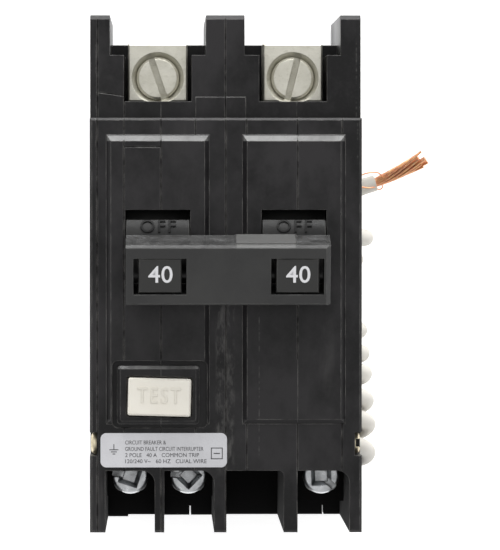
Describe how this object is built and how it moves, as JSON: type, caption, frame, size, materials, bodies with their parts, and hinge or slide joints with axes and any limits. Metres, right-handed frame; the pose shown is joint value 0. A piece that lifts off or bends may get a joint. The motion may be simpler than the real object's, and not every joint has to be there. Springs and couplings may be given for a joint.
{
  "type": "ground-fault circuit breaker",
  "caption": "Two-pole ground-fault circuit breaker with tied handles, test button, line lugs, load screw terminals and a coiled neutral pigtail.",
  "frame": {"origin": "middle of the back face, lying on its back, measured on the case without the pigtail", "axes": "+X across the poles to the right, +Y towards the line lugs, +Z out of the front, towards the handles"},
  "size_m": [0.0661, 0.0968, 0.0714],
  "materials": {
    "black_phenolic": "moulded thermoset, semi-gloss",
    "handle_black": "moulded, semi-gloss",
    "tie_bar_grey": "moulded, matte",
    "cream_button": "moulded, satin",
    "silver_label": "printed foil, satin",
    "rivet_brass": "dull",
    "lug_aluminium": "machined, dull",
    "zinc_screw": "bright zinc",
    "zinc_steel": "zinc plated",
    "copper": "bare copper",
    "silver_contact": "silver alloy",
    "white_insulation": "soft vinyl",
    "black_insulation": "soft vinyl",
    "board_green": "glass epoxy",
    "coil_wrap": "varnished"
  },
  "bodies": {
    "case": {"arc_chutes": "zinc_steel", "bimetal_1": "silver_contact", "bimetal_2": "silver_contact", "board_components": "black_insulation", "braid_1": "copper", "braid_2": "copper", "case_rivets": "rivet_brass", "circuit_board": "board_green", "fixed_contacts": "silver_contact", "handle_pins": "zinc_steel", "line_lug_1": "lug_aluminium", "line_lug_2": "lug_aluminium", "line_strap_1": "copper", "line_strap_2": "copper", "load_lead_1": "black_insulation", "load_lead_2": "black_insulation", "load_strap_1": "copper", "load_strap_2": "copper", "magnet_yokes": "zinc_steel", "neutral_lead": "white_insulation", "neutral_strap": "copper", "pigtail_bushing": "black_insulation", "pigtail_coil": "white_insulation", "pigtail_strands": "copper", "pigtail_tail": "white_insulation", "pole_1_left_shell": "black_phenolic", "pole_1_right_shell": "black_phenolic", "pole_2_left_shell": "black_phenolic", "pole_2_right_shell": "black_phenolic", "rating_label": "silver_label", "sensing_core": "coil_wrap", "sensing_winding": "copper", "side_cover_left": "black_phenolic", "test_contact": "copper", "test_spring": "zinc_steel", "trip_coil": "coil_wrap", "wire_clamps": "zinc_steel"},
    "handle": {"handle_1": "handle_black", "handle_2": "handle_black", "handle_tie_bar": "tie_bar_grey"},
    "arm_1": {"contact_arm_1": "copper", "moving_contact_1": "silver_contact"},
    "arm_2": {"contact_arm_2": "copper", "moving_contact_2": "silver_contact"},
    "trip_bar": {"trip_bar": "handle_black"},
    "armature_1": {"armature_1": "zinc_steel"},
    "armature_2": {"armature_2": "zinc_steel"},
    "cradle_1": {"cradle_1": "zinc_steel", "toggle_spring_1": "zinc_steel"},
    "cradle_2": {"cradle_2": "zinc_steel", "toggle_spring_2": "zinc_steel"},
    "plunger": {"trip_plunger": "zinc_steel"},
    "test_button": {"test_button": "cream_button"},
    "line_screw_1": {"line_screw_1": "lug_aluminium"},
    "line_screw_2": {"line_screw_2": "lug_aluminium"},
    "load_screw_1": {"load_screw_1": "zinc_screw"},
    "neutral_screw": {"neutral_screw": "zinc_screw"},
    "load_screw_2": {"load_screw_2": "zinc_screw"}
  },
  "joints": [
    {"name": "handle_throw", "type": "hinge", "parent": "case", "child": "handle", "pos_m": [0, 0.0048, 0.0508], "axis": [-1, 0, 0], "range_deg": [0, 30]},
    {"name": "arm_1_swing", "type": "hinge", "parent": "handle", "child": "arm_1", "pos_m": [-0.0127, 0.00739, 0.04114], "axis": [1, 0, 0], "range_deg": [0, 73]},
    {"name": "arm_2_swing", "type": "hinge", "parent": "handle", "child": "arm_2", "pos_m": [0.0127, 0.00739, 0.04114], "axis": [1, 0, 0], "range_deg": [0, 73]},
    {"name": "trip_bar_turn", "type": "hinge", "parent": "case", "child": "trip_bar", "pos_m": [0, -0.008, 0.0465], "axis": [-1, 0, 0], "range_deg": [0, 12], "stiffness_Nm_per_rad": 0.02},
    {"name": "armature_1_pull", "type": "hinge", "parent": "case", "child": "armature_1", "pos_m": [-0.0127, -0.0109, 0.027], "axis": [1, 0, 0], "range_deg": [0, 9]},
    {"name": "cradle_1_drop", "type": "hinge", "parent": "case", "child": "cradle_1", "pos_m": [-0.0127, 0.0195, 0.045], "axis": [1, 0, 0], "range_deg": [0, 5.4]},
    {"name": "armature_2_pull", "type": "hinge", "parent": "case", "child": "armature_2", "pos_m": [0.0127, -0.0109, 0.027], "axis": [1, 0, 0], "range_deg": [0, 9]},
    {"name": "cradle_2_drop", "type": "hinge", "parent": "case", "child": "cradle_2", "pos_m": [0.0127, 0.0195, 0.045], "axis": [1, 0, 0], "range_deg": [0, 5.4]},
    {"name": "plunger_pull", "type": "slide", "parent": "case", "child": "plunger", "axis": [0, -1, 0], "range_m": [0, 0.0019], "stiffness_N_per_m": 40},
    {"name": "test_press", "type": "slide", "parent": "case", "child": "test_button", "axis": [0, 0, -1], "range_m": [0, 0.0015], "stiffness_N_per_m": 250, "deforming": ["test_spring"]},
    {"name": "line_screw_1_turn", "type": "hinge", "parent": "case", "child": "line_screw_1", "pos_m": [-0.0127, 0.0366, 0.046], "axis": [0, 0, 1], "continuous": true},
    {"name": "line_screw_2_turn", "type": "hinge", "parent": "case", "child": "line_screw_2", "pos_m": [0.0127, 0.0366, 0.046], "axis": [0, 0, 1], "continuous": true},
    {"name": "load_screw_1_turn", "type": "hinge", "parent": "case", "child": "load_screw_1", "pos_m": [-0.018, -0.0389, 0.034], "axis": [0, 0, 1], "continuous": true},
    {"name": "neutral_screw_turn", "type": "hinge", "parent": "case", "child": "neutral_screw", "pos_m": [-0.0069, -0.0389, 0.034], "axis": [0, 0, 1], "continuous": true},
    {"name": "load_screw_2_turn", "type": "hinge", "parent": "case", "child": "load_screw_2", "pos_m": [0.01845, -0.0389, 0.034], "axis": [0, 0, 1], "continuous": true}
  ],
  "couplings": [
    {"joint": "arm_1_swing", "follows": "handle_throw", "ratio": 2.4333},
    {"joint": "armature_1_pull", "follows": "trip_bar_turn", "ratio": 0.75},
    {"joint": "cradle_1_drop", "follows": "trip_bar_turn", "ratio": 0.45},
    {"joint": "arm_2_swing", "follows": "handle_throw", "ratio": 2.4333},
    {"joint": "armature_2_pull", "follows": "trip_bar_turn", "ratio": 0.75},
    {"joint": "cradle_2_drop", "follows": "trip_bar_turn", "ratio": 0.45}
  ]
}
